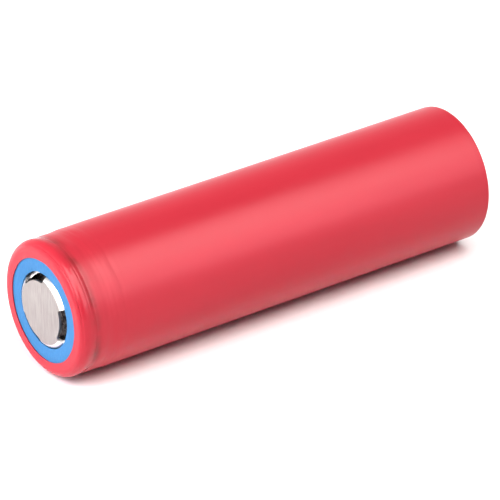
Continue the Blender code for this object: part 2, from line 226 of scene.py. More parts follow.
# ---------------------------------------------------------------------------
# materials
# ---------------------------------------------------------------------------
class Mat:
    """A Principled material with helpers for procedural detail."""

    def __init__(self, name, base, roughness, metallic=0.0, specular=0.5,
                 coat=0.0, coat_roughness=0.1):
        self.mat = bpy.data.materials.new(name)
        self.mat.use_nodes = True
        self.tree = self.mat.node_tree
        self.shader = self.tree.nodes["Principled BSDF"]
        self.base = base
        self.shader.inputs["Base Color"].default_value = (*base, 1)
        self.shader.inputs["Roughness"].default_value = roughness
        self.shader.inputs["Metallic"].default_value = metallic
        self.shader.inputs["Specular IOR Level"].default_value = specular
        self.shader.inputs["Coat Weight"].default_value = coat
        self.shader.inputs["Coat Roughness"].default_value = coat_roughness
        self.rough = roughness
        self.coord = self.tree.nodes.new("ShaderNodeTexCoord")
        self.height = None

    def link(self, a, b):
        self.tree.links.new(a, b)

    def mapping(self, scale=(1, 1, 1), rotation=(0, 0, 0), location=(0, 0, 0)):
        m = self.tree.nodes.new("ShaderNodeMapping")
        m.inputs["Scale"].default_value = scale
        m.inputs["Rotation"].default_value = rotation
        m.inputs["Location"].default_value = location
        self.link(self.coord.outputs["Object"], m.inputs["Vector"])
        return m.outputs["Vector"]

    def noise(self, vector, scale, detail=3.0, roughness=0.55, distortion=0.0):
        n = self.tree.nodes.new("ShaderNodeTexNoise")
        n.inputs["Scale"].default_value = scale
        n.inputs["Detail"].default_value = detail
        n.inputs["Roughness"].default_value = roughness
        n.inputs["Distortion"].default_value = distortion
        self.link(vector, n.inputs["Vector"])
        return n.outputs["Fac"]

    def voronoi(self, vector, scale, feature="F1"):
        n = self.tree.nodes.new("ShaderNodeTexVoronoi")
        n.feature = feature
        n.inputs["Scale"].default_value = scale
        self.link(vector, n.inputs["Vector"])
        return n.outputs["Distance"]

    def ramp(self, fac, stops):
        r = self.tree.nodes.new("ShaderNodeValToRGB")
        el = r.color_ramp.elements
        while len(el) < len(stops):
            el.new(0.5)
        for e, (p, c) in zip(el, stops):
            e.position = p
            e.color = (*c, 1) if len(c) == 3 else c
        self.link(fac, r.inputs["Fac"])
        return r.outputs["Color"]

    def tint(self, fac, dark, light, low=0.3, high=0.7):
        """Base colour that wanders between two tones."""
        colour = self.ramp(fac, [(low, dark), (high, light)])
        self.link(colour, self.shader.inputs["Base Color"])
        return colour

    def map(self, value, lo, hi, to_lo, to_hi):
        m = self.tree.nodes.new("ShaderNodeMapRange")
        m.inputs["From Min"].default_value = lo
        m.inputs["From Max"].default_value = hi
        m.inputs["To Min"].default_value = to_lo
        m.inputs["To Max"].default_value = to_hi
        self.link(value, m.inputs["Value"])
        return m.outputs["Result"]

    def math(self, op, a, b):
        m = self.tree.nodes.new("ShaderNodeMath")
        m.operation = op
        for i, v in enumerate((a, b)):
            if isinstance(v, (int, float)):
                m.inputs[i].default_value = v
            else:
                self.link(v, m.inputs[i])
        return m.outputs[0]

    def mix(self, fac, a, b):
        m = self.tree.nodes.new("ShaderNodeMix")
        m.data_type = "RGBA"
        for key, v in ((0, fac), (6, a), (7, b)):
            if isinstance(v, (int, float)):
                m.inputs[key].default_value = v
            elif isinstance(v, tuple):
                m.inputs[key].default_value = (*v, 1) if len(v) == 3 else v
            else:
                self.link(v, m.inputs[key])
        return m.outputs[2]

    def roughness(self, fac, lo, hi):
        mid, half = (lo + hi) / 2, (hi - lo) / 2
        self.link(self.map(fac, 0.0, 1.0, mid - 2 * half, mid + 2 * half),
                  self.shader.inputs["Roughness"])

    def bump(self, height, distance, strength=1.0):
        """distance in metres: the height that 0 to 1 stands for."""
        b = self.tree.nodes.new("ShaderNodeBump")
        b.inputs["Strength"].default_value = strength
        b.inputs["Distance"].default_value = distance
        self.link(height, b.inputs["Height"])
        if self.height is not None:
            self.link(self.height, b.inputs["Normal"])
        self.height = b.outputs["Normal"]
        self.link(self.height, self.shader.inputs["Normal"])


def make_sleeve():
    m = Mat("sleeve_film", (0.42, 0.018, 0.030), 0.33, specular=0.27)
    m.shader.inputs["Specular Tint"].default_value = (0.80, 0.56, 0.575, 1)
    flow = m.mapping(scale=(1, 0.16, 1))
    broad = m.noise(flow, 190, 3)
    fine = m.noise(m.mapping(scale=(1, 0.35, 1)), 2200, 3)
    tone = m.ramp(broad, [(0.05, (0.372, 0.014, 0.026)),
                          (0.95, (0.437, 0.022, 0.036))])
    # stretched tight and glossier over the rim, satin along the wall
    along = m.tree.nodes.new("ShaderNodeSeparateXYZ")
    m.link(m.coord.outputs["Object"], along.inputs[0])
    gloss = m.tree.nodes.new("ShaderNodeMapRange")
    gloss.interpolation_type = "SMOOTHSTEP"
    gloss.inputs["From Min"].default_value = (front_y + 0.33 + 1.30) * MM
    gloss.inputs["From Max"].default_value = (front_y + 0.33 + 2.30) * MM
    gloss.inputs["To Min"].default_value = -0.115
    gloss.inputs["To Max"].default_value = 0.0
    m.link(along.outputs["Y"], gloss.inputs["Value"])
    grain = m.map(m.noise(m.mapping(), 420, 4), 0.0, 1.0, 0.300, 0.360)
    m.link(m.math("ADD", grain, gloss.outputs["Result"]),
           m.shader.inputs["Roughness"])
    # painted shade: the film's colour darkens in patches along the crease behind the
    # crimp
    drift = m.map(m.noise(m.mapping(), 260, 3), 0.25, 0.75, -0.30, 0.30)
    place = m.math("ADD", m.math("MULTIPLY", along.outputs["Y"], 1000.0),
                   m.math("ADD", drift, -(front_y + 0.33 + 1.88)))
    crease = m.math("POWER", 2.0, m.math("MULTIPLY", -5.0,
                                         m.math("MULTIPLY", place, place)))
    patch = m.map(m.noise(m.mapping(), 300, 4, 0.6), 0.38, 0.66, 0.10, 0.72)
    # mask of the painted crease shade, patchy along the crease
    painted_crease_shade = m.math("MULTIPLY", crease, patch)
    m.link(m.mix(painted_crease_shade, tone, (0.125, 0.018, 0.016)),
           m.shader.inputs["Base Color"])
    m.bump(broad, 0.00003, 0.6)
    m.bump(fine, 0.0000035, 0.7)
    return m.mat


def make_blue():
    m = Mat("blue_fibre", (0.045, 0.205, 0.47), 0.62, specular=0.2)
    fibre = m.noise(m.mapping(scale=(1, 1, 0.3)), 5200, 4, 0.6, 0.6)
    cloud = m.noise(m.mapping(), 900, 3)
    tone = m.ramp(fibre, [(0.15, (0.024, 0.132, 0.31)), (0.85, (0.043, 0.196, 0.42))])
    shade = m.ramp(cloud, [(0.3, (0.93, 0.95, 0.96)), (0.7, (1, 1, 1))])
    mul = m.tree.nodes.new("ShaderNodeMix")
    mul.data_type = "RGBA"
    mul.blend_type = "MULTIPLY"
    mul.inputs[0].default_value = 1.0
    m.link(tone, mul.inputs[6])
    m.link(shade, mul.inputs[7])
    m.link(mul.outputs[2], m.shader.inputs["Base Color"])
    m.roughness(cloud, 0.55, 0.70)
    m.bump(fibre, 0.000012, 0.6)
    return m.mat


def make_nickel():
    m = Mat("nickel_plate", (0.44, 0.40, 0.375), 0.33, metallic=1.0)
    lines = m.noise(m.mapping(scale=(1, 0.3, 0.035)), 11000, 4, 0.65)
    broad = m.noise(m.mapping(scale=(1, 0.5, 0.25)), 700, 3, 0.5, 0.5)
    patches = m.noise(m.mapping(), 420, 3)
    tone = m.ramp(lines, [(0.25, (0.295, 0.271, 0.258)), (0.50, (0.388, 0.360, 0.344)),
                          (0.75, (0.48, 0.448, 0.430))])
    shade = m.ramp(patches, [(0.3, (0.93, 0.92, 0.91)), (0.7, (1, 1, 1))])
    mul = m.tree.nodes.new("ShaderNodeMix")
    mul.data_type = "RGBA"
    mul.blend_type = "MULTIPLY"
    mul.inputs[0].default_value = 1.0
    m.link(tone, mul.inputs[6])
    m.link(shade, mul.inputs[7])
    # painted highlight: the rounded shoulder gets a lighter base colour than the flat
    # face, so it reads white
    place = m.tree.nodes.new("ShaderNodeVectorMath")
    place.operation = "DISTANCE"
    m.link(m.mapping(scale=(1, 0, 1)), place.inputs[0])
    place.inputs[1].default_value = (0, 0, CENTRE_Z * MM)
    # mask of the painted shoulder highlight, beyond about 4.47 mm from the axis
    edge = m.map(place.outputs["Value"], 4.42 * MM, 4.52 * MM, 0.0, 1.0)
    m.link(m.mix(edge, mul.outputs[2], (0.90, 0.87, 0.85)),
           m.shader.inputs["Base Color"])
    m.roughness(broad, 0.31, 0.37)
    m.bump(lines, 0.000004, 0.5)
    return m.mat


def make_metal(name, base, lo, hi, stretch=(1, 0.08, 1), scale=4200,
               spread=0.06, depth=0.000002):
    m = Mat(name, base, (lo + hi) / 2, metallic=1.0)
    grain = m.noise(m.mapping(scale=stretch), scale, 3, 0.6)
    cloud = m.noise(m.mapping(), 500, 3)
    a = tuple(max(c - spread, 0) for c in base)
    b = tuple(min(c + spread, 1) for c in base)
    m.tint(grain, a, b, 0.15, 0.85)
    m.roughness(cloud, lo, hi)
    m.bump(grain, depth, 0.6)
    return m.mat


def make_shade_darkened_aluminium(name):
    """Dull aluminium, darkened and mottled brown: painted shade for the closed cavity
    behind the vent windows.
    """
    m = Mat(name, (0.26, 0.23, 0.21), 0.40, metallic=1.0)
    dark_mottle = m.noise(m.mapping(), 2300, 5, 0.62, 0.4)
    cloud = m.noise(m.mapping(), 600, 3)
    # painted shade: dark brown tones stand for the shadow inside the cell behind the
    # vent windows
    colour = m.ramp(dark_mottle, [(0.40, (0.055, 0.040, 0.036)),
                            (0.52, (0.15, 0.125, 0.115)),
                            (0.66, (0.52, 0.49, 0.46))])
    m.link(colour, m.shader.inputs["Base Color"])
    m.roughness(cloud, 0.34, 0.46)
    m.bump(dark_mottle, 0.00003, 0.7)
    return m.mat


def make_plastic(name, base, lo, hi, spread=0.03, scale=1600, depth=0.000003,
                 subsurface=0.0):
    m = Mat(name, base, (lo + hi) / 2)
    cloud = m.noise(m.mapping(), 380, 4)
    fine = m.noise(m.mapping(), scale, 3)
    a = tuple(max(c - spread, 0) for c in base)
    b = tuple(min(c + spread, 1) for c in base)
    m.tint(cloud, a, b, 0.15, 0.85)
    m.roughness(fine, lo, hi)
    m.bump(fine, depth, 0.7)
    return m.mat


def make_coat(name, base, spread, speck):
    """Active coating: fine black grains in a binder."""
    m = Mat(name, base, 0.78, specular=0.25)
    grains = m.voronoi(m.mapping(), 14000)
    cloud = m.noise(m.mapping(), 700, 4)
    tone = m.ramp(grains, [(0.0, base), (0.8, tuple(c * speck for c in base))])
    shade = m.ramp(cloud, [(0.3, (1 - spread,) * 3), (0.7, (1.0,) * 3)])
    mul = m.tree.nodes.new("ShaderNodeMix")
    mul.data_type = "RGBA"
    mul.blend_type = "MULTIPLY"
    mul.inputs[0].default_value = 1.0
    m.link(tone, mul.inputs[6])
    m.link(shade, mul.inputs[7])
    m.link(mul.outputs[2], m.shader.inputs["Base Color"])
    m.roughness(cloud, 0.7, 0.86)
    m.bump(grains, 0.000006, 0.6)
    return m.mat


MATS = {
    "sleeve_film": make_sleeve(),
    "blue_fibre": make_blue(),
    "nickel_plate": make_nickel(),
    "can_steel": make_metal("can_steel", (0.41, 0.40, 0.385), 0.33, 0.42,
                           stretch=(1, 1, 1), scale=2600, spread=0.05),
    "aluminium": make_shade_darkened_aluminium("aluminium"),
    "ptc_polymer": make_plastic("ptc_polymer", (0.045, 0.045, 0.05), 0.45, 0.62,
                                spread=0.012),
    "clear_pp": make_plastic("clear_pp", (0.72, 0.73, 0.72), 0.36, 0.48),
    "white_pp": make_plastic("white_pp", (0.84, 0.84, 0.81), 0.42, 0.56),
    "cathode_coat": make_coat("cathode_coat", (0.032, 0.032, 0.035), 0.25, 1.9),
    "anode_coat": make_coat("anode_coat", (0.085, 0.078, 0.075), 0.25, 1.6),
    "separator_film": make_plastic("separator_film", (0.88, 0.88, 0.86),
                                   0.48, 0.62, spread=0.02),
    "nickel_strip": make_metal("nickel_strip", (0.68, 0.65, 0.60), 0.30, 0.38,
                               stretch=(1, 1, 0.06), scale=3600),
    "tape_amber": make_plastic("tape_amber", (0.60, 0.27, 0.045), 0.31, 0.40,
                               spread=0.04),
    "tape_green": make_plastic("tape_green", (0.05, 0.34, 0.19), 0.34, 0.46),
    "pin_steel": make_metal("pin_steel", (0.56, 0.56, 0.55), 0.32, 0.42),
}
slot_of = {s["node"]: s["material_slot"] for s in frame["record"]["subparts"]}


# ---------------------------------------------------------------------------
# mesh helpers.  Cell coordinates: radius, angle round the axis from world +X
# towards +Z, and height h in mm from the negative end.
# ---------------------------------------------------------------------------
def to_world(r, phi, h):
    return np.stack([r * np.cos(phi), rear_y - h + 0 * phi,
                     CENTRE_Z + r * np.sin(phi)], -1) * MM


def mesh_object(name, verts, faces, slot, sharp=35.0):
    mesh = bpy.data.meshes.new(name)
    mesh.from_pydata([tuple(v) for v in verts], [], [tuple(f) for f in faces])
    mesh.validate()
    bm = bmesh.new()
    bm.from_mesh(mesh)
    bmesh.ops.remove_doubles(bm, verts=bm.verts, dist=1e-8)
    bmesh.ops.recalc_face_normals(bm, faces=bm.faces)
    bm.to_mesh(mesh)
    bm.free()
    mesh.shade_smooth()
    mesh.set_sharp_from_angle(angle=math.radians(sharp))
    obj = bpy.data.objects.new(name, mesh)
    mesh.materials.append(MATS[slot])
    bpy.context.scene.collection.objects.link(obj)
    return obj


def grid_faces(rows, cols, wrap_rows, start=0):
    faces = []
    last = rows if wrap_rows else rows - 1
    for i in range(last):
        a = start + i * cols
        b = start + ((i + 1) % rows) * cols
        for j in range(cols):
            k = (j + 1) % cols
            faces.append((a + j, a + k, b + k, b + j))
    return faces


def turned(name, section, slot, segments=160, closed=True, sharp=35.0,
           shift=None):
    """Surface of revolution from a section of (radius, height) points."""
    section = np.array(section, float)
    phi = np.arange(segments) * 2 * math.pi / segments
    if closed:
        r = section[:, 0][:, None] + 0 * phi
        h = section[:, 1][:, None] + 0 * phi
        if shift is not None:
            r, h = shift(r, phi[None, :] + 0 * r, h)
        verts = to_world(r, phi[None, :] + 0 * r, h).reshape(-1, 3)
        faces = grid_faces(len(section), segments, True)
        return mesh_object(name, verts, faces, slot, sharp)
    inner = section[1:-1]
    r = inner[:, 0][:, None] + 0 * phi
    h = inner[:, 1][:, None] + 0 * phi
    if shift is not None:
        r, h = shift(r, phi[None, :] + 0 * r, h)
    verts = to_world(r, phi[None, :] + 0 * r, h).reshape(-1, 3)
    faces = grid_faces(len(inner), segments, False)
    n = len(verts)
    ends = to_world(np.zeros(2), np.zeros(2), section[[0, -1], 1])
    verts = np.vstack([verts, ends])
    base = (len(inner) - 1) * segments
    for j in range(segments):
        k = (j + 1) % segments
        faces.append((n, k, j))
        faces.append((n + 1, base + j, base + k))
    return mesh_object(name, verts, faces, slot, sharp)


def arc(cx, cz, radius, start, end, steps):
    a = np.radians(np.linspace(start, end, steps + 1))
    return list(zip(cx + radius * np.cos(a), cz + radius * np.sin(a)))


def offset_path(path, distance):
    path = np.array(path, float)
    seg = np.diff(path, axis=0)
    length = np.hypot(seg[:, 0], seg[:, 1])
    nrm = np.stack([-seg[:, 1] / length, seg[:, 0] / length], -1)
    before = np.vstack([nrm[:1], nrm])
    after = np.vstack([nrm, nrm[-1:]])
    m = before + after
    return path + m * (2 * distance / (m ** 2).sum(1))[:, None]


def rounded(section, radius, steps=3, keep=()):
    """Round the corners of a section loop of (radius, height) points."""
    pts = [np.array(p, float) for p in section]
    out = []
    n = len(pts)
    for i, p in enumerate(pts):
        if i in keep:
            out.append(tuple(p))
            continue
        a, b = pts[i - 1] - p, pts[(i + 1) % n] - p
        la, lb = np.linalg.norm(a), np.linalg.norm(b)
        ua, ub = a / la, b / lb
        cosv = np.clip(np.dot(ua, ub), -1, 1)
        half = math.acos(cosv) / 2
        cut = min(radius / math.tan(half), la * 0.45, lb * 0.45)
        for t in np.linspace(0, 1, steps + 1):
            q = ((1 - t) ** 2 * (p + ua * cut) + 2 * t * (1 - t) * p
                 + t ** 2 * (p + ub * cut))
            out.append(tuple(q))
    return out


def adopt(obj, *nodes, body="cell"):
    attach(obj, body)
    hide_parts(*nodes)


def smoothstep(x, a, b):
    t = np.clip((x - a) / (b - a), 0, 1)
    return t * t * (3 - 2 * t)


def bump_fn(x, centre, width):
    return np.exp(-((x - centre) / width) ** 2)


def ring_noise(phi, seed, low=2, high=9, power=1.0):
    """Smooth periodic noise round the axis, about -1 to 1."""
    g = np.random.default_rng(seed)
    total = np.zeros_like(phi, dtype=float)
    norm = 0.0
    for k in range(low, high + 1):
        amp = 1.0 / k ** power
        total = total + amp * np.cos(k * phi + g.uniform(0, 2 * math.pi))
        norm += amp * amp / 2
    return total / (2.0 * math.sqrt(norm))


def field_noise(phi, h, seed, low=1, high=8, wave=12.0, terms=26):
    """Smooth noise over the shell: periodic round it, free along it."""
    g = np.random.default_rng(seed)
    total = np.zeros(np.broadcast(phi, h).shape)
    for _ in range(terms):
        k = g.integers(low, high + 1)
        w = 2 * math.pi / (wave * g.uniform(0.6, 2.2))
        total = total + np.cos(k * phi + g.choice((-1, 1)) * w * h
                               + g.uniform(0, 2 * math.pi))
    return total / math.sqrt(terms / 2) / 2.0


# ---------------------------------------------------------------------------
# the shrink sleeve
# ---------------------------------------------------------------------------
LIP_R, FOOT_R = 6.96, 7.20
FILM = 0.10
FILLET = 1.20
SEG = 480


# how far the film stands in from its full radius, by distance from the
# front plane: the crimp's edge, the rolled bead's hollow, then the wall
NECK = np.array([(0.0, 0.040), (1.20, 0.045), (1.45, 0.060), (2.05, 0.128),
                 (2.45, 0.116), (3.00, 0.074), (3.35, 0.078), (4.05, 0.106),
                 (4.50, 0.094), (5.20, 0.040), (5.90, 0.006), (6.25, 0.004),
                 (6.65, 0.018), (7.30, 0.006), (8.00, 0.0), (90.0, 0.0)])


def sleeve_radius(s):
    """Outer radius at distance s from the front plane, behind the fillet."""
    s = np.asarray(s, float)
    i = np.clip(np.searchsorted(NECK[:, 0], s, "right") - 1, 0, len(NECK) - 2)
    s0, d0 = NECK[i, 0], NECK[i, 1]
    s1, d1 = NECK[i + 1, 0], NECK[i + 1, 1]
    return R_OUT - (d0 + (d1 - d0) * smoothstep(s, s0, s1))


def build_sleeve():
    rows = []            # (radius, s, normal radius, normal s) of the outside
    neck_r = float(sleeve_radius(FILLET))
    flat_to = neck_r - FILLET
    for t in np.linspace(0, 1, 9)[:-1]:
        rows.append((LIP_R + (flat_to - LIP_R) * t, 0.0, 0.0, -1.0))
    for a in np.linspace(90, 0, 54)[:-1]:
        c, sn = math.cos(math.radians(a)), math.sin(math.radians(a))
        rows.append((flat_to + FILLET * c, FILLET - FILLET * sn, c, -sn))
    fine = list(np.arange(FILLET, 4.6, 0.075)) + list(np.arange(4.6, 9.0, 0.11))
    coarse = list(np.linspace(9.0, SLEEVE_FRONT - 3.0, 74))[1:]
    tail = list(np.arange(SLEEVE_FRONT - 2.9, SLEEVE_FRONT - 0.5, 0.2))
    ss = np.array(fine + coarse + tail)
    rr = sleeve_radius(ss)
    slope = np.gradient(rr, ss)
    for s, r, g in zip(ss, rr, slope):
        n = math.hypot(1, g)
        rows.append((r, s, 1 / n, -g / n))
    rear = 0.36
    for a in np.linspace(0, -90, 12):
        c, sn = math.cos(math.radians(a)), math.sin(math.radians(a))
        rows.append((R_OUT - rear + rear * c,
                     SLEEVE_FRONT - rear - rear * sn, c, -sn))
    for t in np.linspace(0, 1, 10)[1:]:
        rows.append((R_OUT - rear + (FOOT_R - R_OUT + rear) * t,
                     SLEEVE_FRONT, 0.0, 1.0))
    rows = np.array(rows)
    phi = np.arange(SEG) * 2 * math.pi / SEG
    P = phi[None, :]
    r0, s0, nr, ns = (rows[:, i][:, None] for i in range(4))

    # how far along the outside each row lies, from the lip
    step = np.hypot(np.diff(rows[:, 0]), np.diff(rows[:, 1]))
    t = np.concatenate([[0], np.cumsum(step)])[:, None]
    t_flat = flat_to - LIP_R
    t_fill = t_flat + FILLET * math.pi / 2

    d = np.zeros((len(rows), SEG))
    # fine folds that run round the rim, each over part of the way
    def fold(place, wander, width, height, seed, centre=None, half=None,
             soft=0.35, floor_amt=0.15):
        nonlocal d
        path = place + wander * ring_noise(P, seed, 1, 5)
        if centre is None:
            amount = np.clip(0.5 + 0.9 * ring_noise(P, seed + 50, 1, 4), 0, 1)
        else:
            delta = np.abs((P - math.radians(centre) + math.pi)
                           % (2 * math.pi) - math.pi)
            amount = floor_amt + (1 - floor_amt) * (
                1 - smoothstep(delta, math.radians(half),
                               math.radians(half) + soft))
        d = d + height * amount * bump_fn(t, path, width)

    a64 = t_flat + FILLET * math.radians(90 - 64)
    a46 = t_flat + FILLET * math.radians(90 - 51)
    fold(a64, 0.05, 0.055, 0.006, 11, 50, 34)
    fold(a46 - 0.20, 0.06, 0.075, 0.022, 12, 46, 40)
    fold(a46, 0.06, 0.080, -0.052, 12, 46, 40, floor_amt=0.25)
    fold(a46 + 0.24, 0.08, 0.090, 0.014, 18, 40, 40)
    fold(t_flat + 0.16, 0.04, 0.050, -0.016, 19, 105, 50)
    fold(t_fill + 0.30, 0.08, 0.10, -0.020, 16)
    fold(t_fill + 0.56, 0.10, 0.07, 0.012, 20)
    fold(t_fill + 0.86, 0.10, 0.09, -0.020, 23, 50, 30)
    fold(t_fill + 1.12, 0.14, 0.10, 0.010, 17)
    # fine cross wrinkles on the shoulder
    cross = smoothstep(t, t_flat + 0.6, t_flat + 1.1) * (
        1 - smoothstep(t, t_fill + 0.1, t_fill + 0.6))
    d = d + 0.0035 * cross * ring_noise(P + 0.10 * t, 24, 30, 80, 0.2)
    # soft waves of the film over the bead and just behind it
    zone = smoothstep(s0, 1.0, 2.6) * (1 - smoothstep(s0, 5.2, 9.0))
    d = d + 0.013 * zone * field_noise(P, s0, 21, 2, 8, 2.6)
    d = d + 0.005 * zone * field_noise(P, s0, 22, 8, 22, 1.5)

    # crescent puckers where the film comes down off the bead
    def pucker(phi_deg, s_mm, size, height, bend=0.0):
        nonlocal d
        dx = ((P - math.radians(phi_deg) + math.pi) % (2 * math.pi)
              - math.pi) * R_OUT
        dy = s0 - s_mm - bend * dx * dx
        d = d + height * np.exp(-(dx / size[0]) ** 2 - (dy / size[1]) ** 2)

    pucker(47, 5.1, (1.6, 0.75), 0.018)
    pucker(50, 6.40, (2.2, 0.24), -0.016, 0.05)
    pucker(47, 7.0, (1.1, 0.45), 0.012)
    pucker(48, 2.55, (1.6, 0.45), 0.012)
    g = np.random.default_rng(77)
    for _ in range(18):
        pucker(g.uniform(80, 370), g.uniform(4.4, 7.4),
               (g.uniform(0.8, 2.0), g.uniform(0.22, 0.5)),
               g.choice((-1, 1)) * g.uniform(0.003, 0.009),
               g.uniform(-0.06, 0.06))

    # the long body: very shallow waves and a few lengthwise draw lines
    body = smoothstep(s0, 6.0, 12.0) * (1 - smoothstep(s0, 60.0, 64.3))
    d = d + 0.006 * body * field_noise(P, s0, 31, 1, 4, 30.0)
    d = d + 0.0012 * body * ring_noise(P, 32, 10, 40, 0.3)
    # shrink pleats in the two folded-in edges
    pleat_f = 1 - smoothstep(t, t_flat * 0.2, t_flat + 0.5)
    d = d + 0.010 * pleat_f * ring_noise(P, 41, 7, 30, 0.4)
    from_foot = t[-1] - t
    pleat_r = 1 - smoothstep(from_foot, 0.6, 2.6)
    d = d + 0.022 * pleat_r * ring_noise(P, 42, 9, 34, 0.3)
    lip_wander = 0.035 * ring_noise(P, 43, 3, 14, 0.7)
    foot_wander = 0.10 * ring_noise(P, 44, 3, 18, 0.6)
    room = np.where(s0 > 1.0, 0.030, 0.025)
    deep = np.where(s0 > 4.6, -0.015, -0.060)      # the can lies just inside
    d = np.clip(d, deep, room)
    # nothing stands proud of the front, rear or resting planes
    flat = (np.abs(ns) > 0.5)
    d = np.where(flat & (d > 0.004), 0.004, d)

    ro = r0 + nr * d
    so = s0 + ns * d
    ro = ro + lip_wander * (1 - smoothstep(t, 0, 0.5)) \
        + foot_wander * (1 - smoothstep(from_foot, 0, 0.8))
    # the side the cell rests on is pressed flush with the floor
    z = CENTRE_Z + ro * np.sin(P)
    lift = np.clip(0.0 - z, 0, None)
    ri = ro - nr * FILM
    si = so - ns * FILM
    Pf = P + 0 * ro
    outer = to_world(ro, Pf, SLEEVE_FRONT - so)
    outer[..., 2] += lift * MM
    inner = to_world(ri, Pf, SLEEVE_FRONT - si)
    verts = np.concatenate([outer, inner[::-1]], 0).reshape(-1, 3)
    faces = grid_faces(2 * len(rows), SEG, True)
    return mesh_object("shrink_sleeve", verts, faces, "sleeve_film", 50.0)


sleeve = build_sleeve()
adopt(sleeve, "wrap_sleeve")

# ---------------------------------------------------------------------------
# positive end
# ---------------------------------------------------------------------------
RING_Z0, RING_Z1 = 64.53, 64.77


def ring_shift(r, phi, h):
    wave = 0.006 * ring_noise(phi, 61, 2, 7)
    edge = (1 - smoothstep(r, 5.13, 5.5))
    r = r + 0.02 * edge * ring_noise(phi, 62, 3, 20, 0.5)
    return r, h + wave


ring = turned("fibre_ring",
              rounded([(5.13, RING_Z0), (5.13, RING_Z1), (7.90, RING_Z1),
                       (7.90, RING_Z0)], 0.05, 2), "blue_fibre", 240,
              shift=ring_shift)
adopt(ring, "top_insulator_ring")

CAP_TOP, CAP_T, WALL = LENGTH, 0.38, 5.07
FLANGE = 63.80
cap_line = [(8.03, FLANGE), (WALL + 0.45, FLANGE)]
cap_line += arc(WALL + 0.30, FLANGE + 0.30, 0.30, -90, -180, 6)
cap_line += [(WALL, CAP_TOP - 0.95)]
# the rounded shoulder: part of an ellipse from the wall to the flat face
for a in np.linspace(0, 90, 15)[1:]:
    c, s = math.cos(math.radians(a)), math.sin(math.radians(a))
    cap_line.append((3.85 + (WALL - 3.85) * c, CAP_TOP - 0.95 + 0.95 * s))
cap_line += [(3.0, CAP_TOP), (1.5, CAP_TOP), (0.0, CAP_TOP)]
under = offset_path(cap_line, CAP_T)
under[-1] = (0.0, CAP_TOP - CAP_T)
cap = turned("vented_cap", cap_line[::-1] + [tuple(p) for p in under],
             "nickel_plate", 216, closed=False, sharp=28.0)


def window_cutter(name, centre, span, r0, r1, h0, h1, corner):
    """Curved block with rounded ends, that cuts one vent window."""
    half = math.radians(span / 2)
    mid = (r0 + r1) / 2
    outline = []
    ca = corner / r0
    for t in np.linspace(-half + ca, half - ca, 25):
        outline.append((r0, t))
    for a in np.linspace(0, math.pi / 2, 6)[1:]:
        outline.append((r0 + corner * (1 - math.cos(a)),
                        half - ca + ca * math.sin(a)))
    for t in np.linspace(half, -half, 25):
        outline.append((r1, t))
    for a in np.linspace(math.pi / 2, 0, 6)[:-1]:
        outline.append((r0 + corner * (1 - math.cos(a)),
                        -(half - ca + ca * math.sin(a))))
    rr = np.array([o[0] for o in outline])
    pp = np.array([o[1] for o in outline]) + math.radians(centre)
    lo = to_world(rr, pp, np.full(len(rr), h0))
    hi = to_world(rr, pp, np.full(len(rr), h1))
    n = len(rr)
    bm = bmesh.new()
    a = [bm.verts.new(tuple(v)) for v in lo]
    b = [bm.verts.new(tuple(v)) for v in hi]
    bm.faces.new(a)
    bm.faces.new(b[::-1])
    for i in range(n):
        j = (i + 1) % n
        bm.faces.new((a[i], b[i], b[j], a[j]))
    bmesh.ops.triangulate(bm, faces=[f for f in bm.faces if len(f.verts) > 4])
    bmesh.ops.recalc_face_normals(bm, faces=bm.faces)
    mesh = bpy.data.meshes.new(name)
    bm.to_mesh(mesh)
    bm.free()
    obj = bpy.data.objects.new(name, mesh)
    bpy.context.scene.collection.objects.link(obj)
    return obj


def carve(obj, tools, sharp=28.0):
    for tool in tools:
        b = obj.modifiers.new(tool.name, "BOOLEAN")
        b.operation = "DIFFERENCE"
        b.solver = "EXACT"
        b.object = tool
    bpy.context.view_layer.update()
    graph = bpy.context.evaluated_depsgraph_get()
    mesh = bpy.data.meshes.new_from_object(obj.evaluated_get(graph))
    obj.modifiers.clear()
    obj.data = mesh
    mesh.name = obj.name
    mesh.shade_smooth()
    mesh.set_sharp_from_angle(angle=math.radians(sharp))
    for tool in tools:
        data = tool.data
        bpy.data.objects.remove(tool, do_unlink=True)
        bpy.data.meshes.remove(data)
    return obj


carve(cap, [window_cutter("window_%d" % i, centre, 60.0, 4.10, 5.9,
                          FLANGE + 0.14, CAP_TOP + 0.5, 0.35)
            for i, centre in enumerate((114.0, -6.0, -126.0))])
adopt(cap, "positive_cap")

# ---------------------------------------------------------------------------
# can and the crimped stack
# ---------------------------------------------------------------------------
BEAD_Z, BEAD_R, CRIMP_R = 61.35, 7.65, 8.85
can_line = [(0.0, 0.10), (3.0, 0.10), (6.0, 0.10), (6.80, 0.10),
            (6.92, 0.115), (7.02, 0.14)]
can_line += arc(9.02 - 0.42, 0.14 + 0.42, 0.42, -90, 0, 8)
can_line += [(9.02, 20.0), (9.02, 40.0), (9.02, BEAD_Z - 2.20),
             (9.005, BEAD_Z - 1.80), (8.965, BEAD_Z - 1.40),
             (8.92, BEAD_Z - 0.98)]
for t in np.linspace(0, 1, 25)[1:-1]:
    z = BEAD_Z - 0.98 + t * 1.78
    wall = 8.92 + (CRIMP_R - 8.92) * t
    depth = math.sin(math.pi * t) ** 1.6
    can_line.append((wall - (wall - BEAD_R) * depth, z))
can_line += [(CRIMP_R, BEAD_Z + 0.80)]
can_line += arc(CRIMP_R - 1.0, 64.49 - 1.0, 1.0, 0, 90, 12)
can_line += [(7.3, 64.49), (6.90, 64.49)]
can_in = [tuple(p) for p in offset_path(can_line, 0.245)]
can_in[0] = (0.0, 0.345)
can = turned("steel_can", can_line + can_in[::-1], "can_steel", 192,
             closed=False, sharp=30.0)
adopt(can, "can")

bend = 0.71
gasket = turned("gasket_ring",
                [(6.72, 64.20)] + arc(7.85, 63.49, bend, 90, 0, 10)
                + rounded([(8.56, 62.50), (8.38, 62.31), (7.05, 62.31),
                           (7.05, 62.70), (8.10, 62.70), (8.10, 63.84),
                           (6.72, 63.84)], 0.05, 2, keep=(0, 6)),
                "clear_pp", 160)
adopt(gasket, "crimp_gasket")

